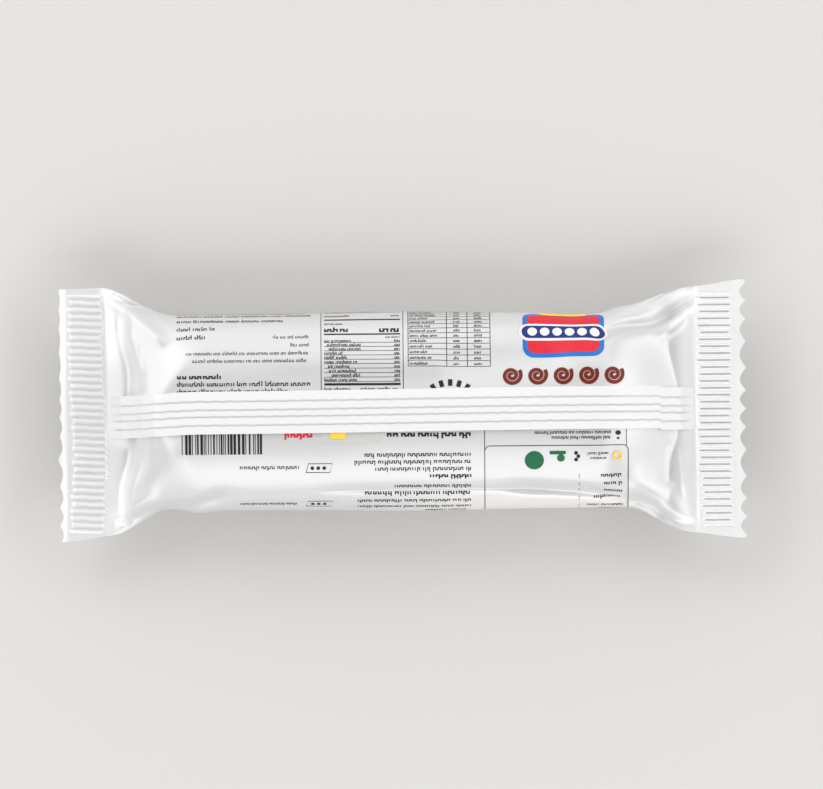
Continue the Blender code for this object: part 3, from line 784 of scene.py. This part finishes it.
def small_print(ink, x0, x1, turn, height=1.1, weight=1.0, hanging=False):
    """A line of small print as words without letters: each word is a meander of upright strokes
    joined in turn at the head and at the foot, a few strokes being taller. A hanging line is the
    other way up, as on the half of the web that faces the other way."""
    stroke, body, way = STROKE_SHARE * height * weight, LOW_SHARE * height, -1 if hanging else 1
    base = turn - way * height / 2
    x = x0
    while x < x1 - height:
        strokes = int(chance.integers(*WORD_STROKES))
        for number in range(strokes):
            tall = height if chance.random() < TALL_CHANCE else body
            ink.block(x, x + stroke, base, base + way * tall)
            gap = height * chance.uniform(*STROKE_GAP)
            if x + 2 * stroke + gap > x1:
                break
            if number < strokes - 1 and chance.random() < JOIN_CHANCE:
                level = base + way * (body - stroke if number % 2 else 0)
                ink.block(x + stroke, x + stroke + gap, level, level + way * stroke)
            x += stroke + gap
        x += height * WORD_GAP


def rule(ink, x0, x1, turn, width=LINE):
    """A straight printed line along the pack."""
    ink.block(x0, x1, turn - width / 2 / MM, turn + width / 2 / MM)


def upright(ink, x, low, high, width=LINE):
    """A straight printed line round the girth."""
    ink.block(x - width / 2 / MM, x + width / 2 / MM, low, high)


def text_panel():
    """The small print at the left of the upper half: a ragged block, a block set to the right, and
    a headed pair of lines."""
    for turn, end in ((36, -22), (33.6, -20), (31.2, -24), (28.8, -19.6), (26.6, -21), (24.4, -19.6),
                      (22, -25.6), (19.4, -40.6), (17.1, -42.6)):
        small_print(black, -49, end, turn)
    for turn, start in ((17.0, -28), (15.0, -24.2), (13.1, -47), (11.4, -45.6)):
        small_print(black, start, -20, turn, height=0.85, weight=0.8)
    small_print(black, -48.9, -39.2, 7.9, weight=1.5)
    small_print(black, -48.9, -19.6, 6.3)
    small_print(black, -48.9, -24, 4.7)


def fact_panel():
    """The bordered list of amounts: a heading, thick rules and ten thin rows."""
    left, right = -17.5, 0.4
    upright(black, left, 3.6, 35)
    upright(black, right, 3.6, 35)
    rule(black, left, right, 35)
    for turn, width in ((31.4, 0.3), (26, 0.2), (21.9, 0.4), (17.5, 0.34), (6.0, 0.5)):
        rule(black, left + 0.7, right - 0.6, turn, width * MM)
    first, last = left + 0.7, right - 0.6
    for start, end, turn, height, weight in (
        (first, -3, 33.2, 2, 1.3), (first, -7, 29.4, 1.1, 1), (first, -5, 27.4, 1.1, 1),
        (first, -11.2, 23.7, 1, 1), (-2.2, last, 23.7, 1, 1), (first, -12.6, 20.5, 0.6, 1),
        (first, -11.2, 18.8, 1.3, 1.4), (-4.8, last, 18.8, 1.6, 1.3), (-3.4, last, 16.8, 0.6, 1),
    ):
        small_print(black, start, end, turn, height, weight)
    for row in range(10):
        turn = 15.9 - 0.98 * row
        rule(black, first, last, turn - 0.48, 0.1 * MM)
        inset = (0, 0.6, 1.0, 0, 0, 0, 0.8, 1.0, 1.6, 0)[row]
        small_print(black, first + inset, left + 4.5 + inset + 4 * chance.random(), turn, 0.72, 1.1)
        small_print(black, right - 1.9, last, turn, 0.72, 1.1)
    small_print(black, first, -10, 5.0, height=0.8)
    small_print(black, -9, last, 5.0, height=0.8)


def amount_table():
    """A ruled table of three columns and many rows, which runs on round the flank."""
    left, right, bottom, pitch, rows = 1.5, 19.4, 9.9, 1.3, 17
    top = bottom + pitch * rows
    for x in (left, 9.9, 14.4, right):
        upright(black, x, bottom, top)
    for row in range(rows + 1):
        rule(black, left, right, bottom + pitch * row, 0.11 * MM)
    for row in range(rows):
        turn = bottom + pitch * (row + 0.5)
        small_print(black, left + 0.35, left + 3 + 4 * chance.random(), turn, 0.72)
        small_print(black, 11.4, 12.8, turn, 0.72)
        small_print(black, 15.9, 17.6, turn, 0.72)


def arched_marks():
    """A short arch of blocks that the back seal half covers."""
    radius, middle_x, middle_turn = 6.9, 10.6, -0.7
    for angle in np.radians(np.linspace(138, 42, 7)):
        across = np.array([-0.48, 0.48])
        spoke = np.array([radius - 0.7, radius + 0.8])[:, None]
        x = middle_x + spoke * np.cos(angle) + across * np.sin(angle)
        turn = middle_turn + spoke * np.sin(angle) - across * np.cos(angle)
        black.patch(x * MM, turn * MM)


def badge():
    """A plain plaque of stacked colours where a badge goes: a blue field, a red one on it, a white
    bar with a row of dots across them, and a yellow bar along the top."""
    blue.rounded_block(26.5, 44.3, 11.8, 24.6, 2.4)
    red.rounded_block(27.5, 43.3, 12.8, 23.6, 1.7)
    white.rounded_block(25.7, 45.1, 15.6, 20.0, 2.1)
    navy.rounded_block(26.3, 44.5, 16.2, 19.4, 1.5)
    for x in np.linspace(28.6, 42.2, 6):
        dots.disc(x, 17.8, 1.05)
    yellow.rounded_block(30.2, 40.6, 23.6, 26.2, 0.8)


def roll_slices():
    """A row of round slices with a spiral of filling, as a plain picture of what is inside."""
    turns_in_slice, radius = 2.1, 2.1
    for x in np.linspace(24.0, 46.2, 5):
        angle = np.linspace(0.9, turns_in_slice * 2 * np.pi, 80)
        reach = radius * angle / angle[-1]
        brown.stroke(x + reach * np.cos(angle), 7.75 + reach * np.sin(angle), 0.85)


def barcode():
    """Bars and gaps of one to three modules, drawn by chance, running under the back seal."""
    module, x = 0.185, -48.0
    while x < -30.7:
        wide = module * chance.choice([1, 1, 2, 3])
        black.block(x, min(x + wide, -30.5), -9.1, -3.6)
        x += wide + module * chance.choice([1, 1, 2, 2, 3])


def lower_text():
    """The rest of the lower half's small print: headings, two licence lines and an address block."""
    small_print(red, -25.6, -18.7, -5.3, height=1.35, weight=1.5, hanging=True)
    small_print(black, -3.3, 15.1, -5.3, height=1.3, weight=1.5, hanging=True)
    grey.rounded_block(-17.6, -4.8, -6.8, -3.8, 0.5)
    yellow.rounded_block(-15.6, -12.2, -5.8, -3.9, 0.4)
    for turn in (-12.3, -22.0):
        small_print(black, -35.4, -22.2, turn, height=1.0, hanging=True)
        black.stroke([-21, -15.8, -15.2, -20.4, -21], turn + np.array([-1, -1, 1, 1, -1]), 0.16)
        for x in (-19.6, -18.3, -17.0):
            black.disc(x, turn, 0.42)
    for turn, start, weight in ((-9.7, -8.2, 1), (-11.3, -10.4, 1), (-12.9, -5.9, 1), (-14.6, 6, 1.5),
                                (-17.2, -1.7, 1), (-19.1, -8.2, 1.3), (-21.2, -9.8, 1),
                                (-23.4, -9.8, 1), (-25.6, 5, 1.5), (-28.2, -6, 1), (-30.2, -8, 1)):
        small_print(black, start, 15.1, turn, weight=weight, hanging=True)


def label_box():
    """The round-cornered box at the lower right with a row of plain marks and a column of labels."""
    left, right, top, bottom, corner = 18.0, 49.3, -7.7, -36, 1.2
    arc = np.linspace(0, np.pi / 2, 8)
    x = np.concatenate([[left], left + corner * (1 - np.cos(arc)),
                        right - corner * (1 - np.sin(arc)), [right]])
    turn = np.concatenate([[bottom], top - corner * (1 - np.sin(arc)),
                           top - corner * (1 - np.cos(arc)), [bottom]])
    x, turn = in_steps(x, turn)
    black.stroke(x, turn, 0.17)
    upright(black, left, top - corner, -3.6)
    upright(black, right - 0.4, top - 0.2, -3.6)
    small_print(black, 28.9, 45.7, -5.0, height=0.8, hanging=True)
    small_print(black, 32.6, 45.7, -6.1, height=0.8, hanging=True)
    black.disc(47.1, -5.0, 0.62, 0.8)
    black.disc(47.1, -6.2, 0.34, 0.7)
    green.disc(28.8, -11.0, 2.1)
    green.rounded_block(32.1, 35.7, -9.7, -8.9, 0.3)
    green.disc(34.6, -10.5, 0.85)
    for step in range(3):
        black.disc(37.9 + 0.5 * (step % 2), -9.4 - 0.75 * step, 0.42)
    small_print(black, 40.4, 45.3, -9.6, height=0.7, hanging=True)
    small_print(black, 41.0, 45.3, -10.7, height=0.7, hanging=True)
    yellow.ring(46.9, -10.1, 0.85, 0.4)
    for turn, start in ((-14.8, 43.3), (-16.8, 44), (-19.0, 44), (-21.3, 41.8), (-23.8, 40.3),
                        (-26.2, 43), (-28.6, 42)):
        small_print(black, start, 48.3, turn, height=1.0, weight=1.15, hanging=True)
        black.disc(38.6, turn + 0.3, 0.13)
        black.disc(38.6, turn - 0.3, 0.13)


def in_steps(x, turn, step=0.6):
    """The same path with its long stretches cut into short steps."""
    run = np.concatenate([[0], np.cumsum(np.hypot(np.diff(x), np.diff(turn)))])
    places = np.unique(np.concatenate([run, np.arange(0, run[-1], step)]))
    return np.interp(places, run, x), np.interp(places, run, turn)


def new_material(name):
    """A material, its node tree and its shader."""
    material = bpy.data.materials.new(name)
    material.use_nodes = True
    return material, material.node_tree, material.node_tree.nodes["Principled BSDF"]


def new_group(name, inputs, outputs):
    """A shader node group with named inputs and outputs, and the two nodes that hold them."""
    group = bpy.data.node_groups.new(name, "ShaderNodeTree")
    for label, default in inputs:
        socket = group.interface.new_socket(label, in_out="INPUT", socket_type="NodeSocketFloat")
        socket.default_value = default
    for label, kind in outputs:
        group.interface.new_socket(label, in_out="OUTPUT", socket_type=kind)
    return group, group.nodes.new("NodeGroupInput"), group.nodes.new("NodeGroupOutput")


def link(tree, source, target):
    """Joins two sockets."""
    tree.links.new(source, target)


def calculated(tree, operation, first, second):
    """The result of a sum of two values, each a number or a socket."""
    node = tree.nodes.new("ShaderNodeMath")
    node.operation = operation
    for socket, value in zip(node.inputs, (first, second)):
        if isinstance(value, (int, float)):
            socket.default_value = value
        else:
            link(tree, value, socket)
    return node.outputs["Value"]


def mixed(tree, share, first, second):
    """A colour between two, each a colour or a socket, by a mask over the surface."""
    node = tree.nodes.new("ShaderNodeMix")
    node.data_type = "RGBA"
    link(tree, share, node.inputs["Factor"])
    for label, value in (("A", first), ("B", second)):
        if isinstance(value, tuple):
            node.inputs[label].default_value = (*value, 1)
        else:
            link(tree, value, node.inputs[label])
    return node.outputs["Result"]


def ramp(tree, value, form, ends):
    """A value carried from one range to another, by a straight line or an S-curve."""
    node = tree.nodes.new("ShaderNodeMapRange")
    node.interpolation_type = form
    for label, end in ends.items():
        node.inputs[label].default_value = end
    link(tree, value, node.inputs["Value"])
    return node.outputs["Result"]


def noise(group, place, given, label, detail=2.0):
    """Noise over a place, on the scale that the group's named input gives."""
    node = group.nodes.new("ShaderNodeTexNoise")
    node.inputs["Detail"].default_value = detail
    link(group, place, node.inputs["Vector"])
    link(group, given.outputs[label], node.inputs["Scale"])
    return node.outputs["Fac"]


def axes_of(tree, kind):
    """X, Y and Z of a place, in the named kind of coordinates."""
    place = tree.nodes.new("ShaderNodeTexCoord")
    axes = tree.nodes.new("ShaderNodeSeparateXYZ")
    link(tree, place.outputs[kind], axes.inputs["Vector"])
    return axes.outputs


def crinkle_group():
    """Film texture: a fine grain, soft dents, and creases from noise folded at its middle."""
    group, given, put = new_group(
        "film_crinkle",
        (("Grain", 900.0), ("Dents", 90.0), ("Creases", 60.0), ("Cloud", 25.0)),
        (("Height", "NodeSocketFloat"), ("Cloud", "NodeSocketFloat"), ("Gloss", "NodeSocketFloat")),
    )
    place = group.nodes.new("ShaderNodeTexCoord")
    stretched = group.nodes.new("ShaderNodeMapping")
    stretched.inputs["Scale"].default_value = CRINKLE_STRETCH
    link(group, place.outputs["Object"], stretched.inputs["Vector"])
    grain, dents, creases, cloud = [
        noise(group, stretched.outputs["Vector"], given, label, detail)
        for label, detail in (("Grain", 2.0), ("Dents", 2.0), ("Creases", 4.0), ("Cloud", 3.0))
    ]
    height = calculated(group, "MULTIPLY", dents, DENT_SHARE)
    for operation, value in (("SUBTRACT", 0.5), ("ABSOLUTE", 0), ("MULTIPLY", CREASE_STEEPNESS),
                             ("MINIMUM", 1), ("MULTIPLY", CREASE_SHARE)):
        creases = calculated(group, operation, creases, value)
    height = calculated(group, "ADD", height, creases)
    height = calculated(group, "ADD", height, calculated(group, "MULTIPLY", grain, GRAIN_SHARE))
    link(group, height, put.inputs["Height"])
    link(group, cloud, put.inputs["Cloud"])
    link(group, calculated(group, "MULTIPLY", dents, GLOSS_SPREAD), put.inputs["Gloss"])
    return group


def painted_reflection_mask(tree, most):
    """A mask of painted reflection that grows to the given share over the near flank: the product of its
    S-curves.
    """
    axes, share = axes_of(tree, "Object"), most
    for axis, start, end in PAINTED_REFLECTION_REACH:
        step = ramp(tree, axes[axis], "SMOOTHSTEP", {"From Min": start, "From Max": end})
        share = calculated(tree, "MULTIPLY", step, share)
    return share


def film_material(name, light, shaded, changed, rough, depth, crinkle, painted_reflection=0.0):
    """White film: a light and a slightly darker tone mixed in soft clouds, the changed tones where it is
    doubled and the painted shade where it is grooved or bends down, a gloss that varies with the dents,
    crinkles as bump, and a warm tint of painted reflection over the near flank if asked for."""
    material, tree, shader = new_material(name)
    film = tree.nodes.new("ShaderNodeGroup")
    film.node_tree = crinkle
    colour = mixed(tree, film.outputs["Cloud"], shaded, light)
    for label, tint in changed.items():
        share = tree.nodes.new("ShaderNodeAttribute")
        share.attribute_name = label
        colour = mixed(tree, share.outputs["Fac"], colour, tint)
    # A warm tint over the near flank: painted reflection of a brown surround
    if painted_reflection:
        colour = mixed(tree, painted_reflection_mask(tree, painted_reflection), colour, PAINTED_REFLECTION_TINT)
    link(tree, colour, shader.inputs["Base Color"])
    shader.inputs["IOR"].default_value = FILM_IOR
    shader.inputs["Coat Weight"].default_value = 1.0
    shader.inputs["Coat IOR"].default_value = COAT_IOR
    shader.inputs["Coat Roughness"].default_value = COAT_ROUGHNESS
    link(tree, calculated(tree, "ADD", film.outputs["Gloss"], rough), shader.inputs["Roughness"])
    bump = tree.nodes.new("ShaderNodeBump")
    bump.inputs["Distance"].default_value = depth
    bump.inputs["Strength"].default_value = 1.0
    link(tree, film.outputs["Height"], bump.inputs["Height"])
    link(tree, bump.outputs["Normal"], shader.inputs["Normal"])
    return material


def mottle_group():
    """Ink that covers unevenly: a fine speckle and a soft cloud, put out as one mask."""
    scales = (("Speckle", 1800.0), ("Cloud", 160.0))
    group, given, put = new_group("ink_mottle", scales, (("Mask", "NodeSocketFloat"),))
    place = group.nodes.new("ShaderNodeTexCoord")
    noises = [noise(group, place.outputs["Object"], given, label) for label, _ in scales]
    link(group, calculated(group, "MULTIPLY", *noises), put.inputs["Mask"])
    return group


def ink_material(name, deep, pale, mottle):
    """Printing ink: a deep and a paler tone mixed by the mottle, with a weak gloss."""
    material, tree, shader = new_material(name)
    cover = tree.nodes.new("ShaderNodeGroup")
    cover.node_tree = mottle
    link(tree, mixed(tree, cover.outputs["Mask"], deep, pale), shader.inputs["Base Color"])
    shader.inputs["Roughness"].default_value = INK_ROUGHNESS
    shader.inputs["Specular IOR Level"].default_value = INK_SPECULAR
    return material


def floor_material():
    """A plain pale matt table."""
    material, _, shader = new_material("pale_floor")
    shader.inputs["Base Color"].default_value = (*FLOOR_COLOUR, 1)
    shader.inputs["Roughness"].default_value = FLOOR_ROUGHNESS
    return material


def build_pack():
    """The film pieces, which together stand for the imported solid."""
    crinkle = crinkle_group()
    # All four are one white film. Their greys differ partly for real, as single film over the dark cake
    # looks greyer than doubled film, and partly as painted shade: the wrap is painted darker for its dim
    # top, and the left seal darker than the right.
    wrap = film_material("wrap_film", (0.56, 0.56, 0.565), (0.51, 0.51, 0.515),
                         {"doubled": (0.7, 0.7, 0.705)}, 0.4, 0.1 * MM, crinkle, PAINTED_REFLECTION_SHARE)
    # The pressed tones are painted shade in the end seals' valleys and grooves and in the back seal's
    # grooves
    left = film_material("left_seal_film", (0.68, 0.68, 0.685), (0.63, 0.63, 0.635),
                         {"pressed": (0.52, 0.52, 0.525)}, 0.42, 0.05 * MM, crinkle)
    right = film_material("right_seal_film", (0.75, 0.75, 0.75), (0.71, 0.71, 0.715),
                          {"pressed": (0.56, 0.56, 0.565)}, 0.4, 0.05 * MM, crinkle)
    strip = film_material("strip_film", (0.73, 0.73, 0.73), (0.69, 0.69, 0.69),
                          {"sloped": (0.66, 0.66, 0.665), "pressed": (0.48, 0.48, 0.48)},
                          0.42, 0.05 * MM, crinkle)
    uncoated = strip.node_tree.nodes["Principled BSDF"]
    uncoated.inputs["IOR"].default_value = STRIP_IOR
    uncoated.inputs["Coat Weight"].default_value = 0.0
    pieces = [body_piece(wrap), seal_piece("left", left), seal_piece("right", right), fin_piece(strip)]
    for piece in pieces:
        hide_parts("pack")


def build_print():
    """All the ink, laid out flat and wrapped on the film."""
    for draw in (text_panel, fact_panel, amount_table, arched_marks, badge, roll_slices, barcode,
                 lower_text, label_box):
        draw()
    mottle = mottle_group()
    for ink, deep, pale in (
        (black, (0.012, 0.012, 0.013), (0.035, 0.035, 0.036)),
        (brown, (0.13, 0.012, 0.006), (0.22, 0.03, 0.016)),
        (red, (0.62, 0.012, 0.03), (0.8, 0.05, 0.07)),
        (blue, (0.01, 0.13, 0.5), (0.03, 0.24, 0.66)),
        (navy, (0.008, 0.02, 0.16), (0.02, 0.05, 0.26)),
        (white, (0.74, 0.74, 0.74), (0.8, 0.8, 0.8)),
        (dots, (0.74, 0.74, 0.74), (0.8, 0.8, 0.8)),
        (yellow, (0.85, 0.55, 0.04), (0.95, 0.75, 0.15)),
        (green, (0.002, 0.1, 0.035), (0.01, 0.2, 0.075)),
        (grey, (0.5, 0.5, 0.48), (0.62, 0.61, 0.58)),
    ):
        ink.piece(ink_material(ink.name.replace("print", "ink"), deep, pale, mottle))


def area_light(name, place, size, power):
    """A softbox at a place, turned to the pack."""
    light = bpy.data.lights.new(name, "AREA")
    light.shape = "RECTANGLE"
    light.size, light.size_y = size
    light.energy = power
    lamp = bpy.data.objects.new(name, light)
    lamp.location = place
    lamp.rotation_euler = (Vector(LIGHT_AIM) - Vector(place)).to_track_quat("-Z", "Y").to_euler()
    bpy.context.scene.collection.objects.link(lamp)


def build_studio():
    """The floor, a softbox beyond each side and each end of the pack, and a surround that is bright
    along the horizon and dim above."""
    mesh = bpy.data.meshes.new("floor")
    side = FLOOR_SIDE
    corners = [(-side, -side, 0), (side, -side, 0), (side, side, 0), (-side, side, 0)]
    mesh.from_pydata(corners, [], [(0, 1, 2, 3)])
    mesh.materials.append(floor_material())
    floor = bpy.data.objects.new("floor", mesh)
    floor.location.z = -FLOOR_GAP
    bpy.context.scene.collection.objects.link(floor)
    for name, (place, size, power) in SOFTBOXES.items():
        area_light(name, place, size, power)
    world = bpy.data.worlds.new("studio")
    bpy.context.scene.world = world
    world.use_nodes = True
    tree = world.node_tree
    sky = tree.nodes["Background"]
    glow = ramp(tree, axes_of(tree, "Generated")["Z"], "LINEAR", SURROUND_GLOW)
    link(tree, glow, sky.inputs["Strength"])
    sky.inputs["Color"].default_value = (1, 1, 1, 1)


def build_camera():
    """Straight down, with the pack where the photo has it and turned as far as it is there."""
    pixel = 2 * HALF_LENGTH / (PACK_ENDS[1] - PACK_ENDS[0])
    offset = Vector((PHOTO_SIZE[0] / 2 - PACK_MIDDLE[0], PACK_MIDDLE[1] - PHOTO_SIZE[1] / 2, 0)) * pixel
    turn = Matrix.Rotation(-PACK_TILT, 4, "Z")
    camera = bpy.data.cameras.new("camera")
    camera.sensor_width = SENSOR
    camera.lens = SENSOR * (CAMERA_HEIGHT - SEAL_PLANE) / (PHOTO_SIZE[0] * pixel)
    viewer = bpy.data.objects.new("camera", camera)
    viewer.matrix_world = Matrix.Translation(turn @ offset + Vector((0, 0, CAMERA_HEIGHT))) @ turn
    camera.clip_start, camera.clip_end = CLIP_RANGE
    bpy.context.scene.collection.objects.link(viewer)
    bpy.context.scene.camera = viewer


build_camera()
build_studio()
build_pack()
build_print()
bpy.context.scene.view_settings.view_transform = "Standard"
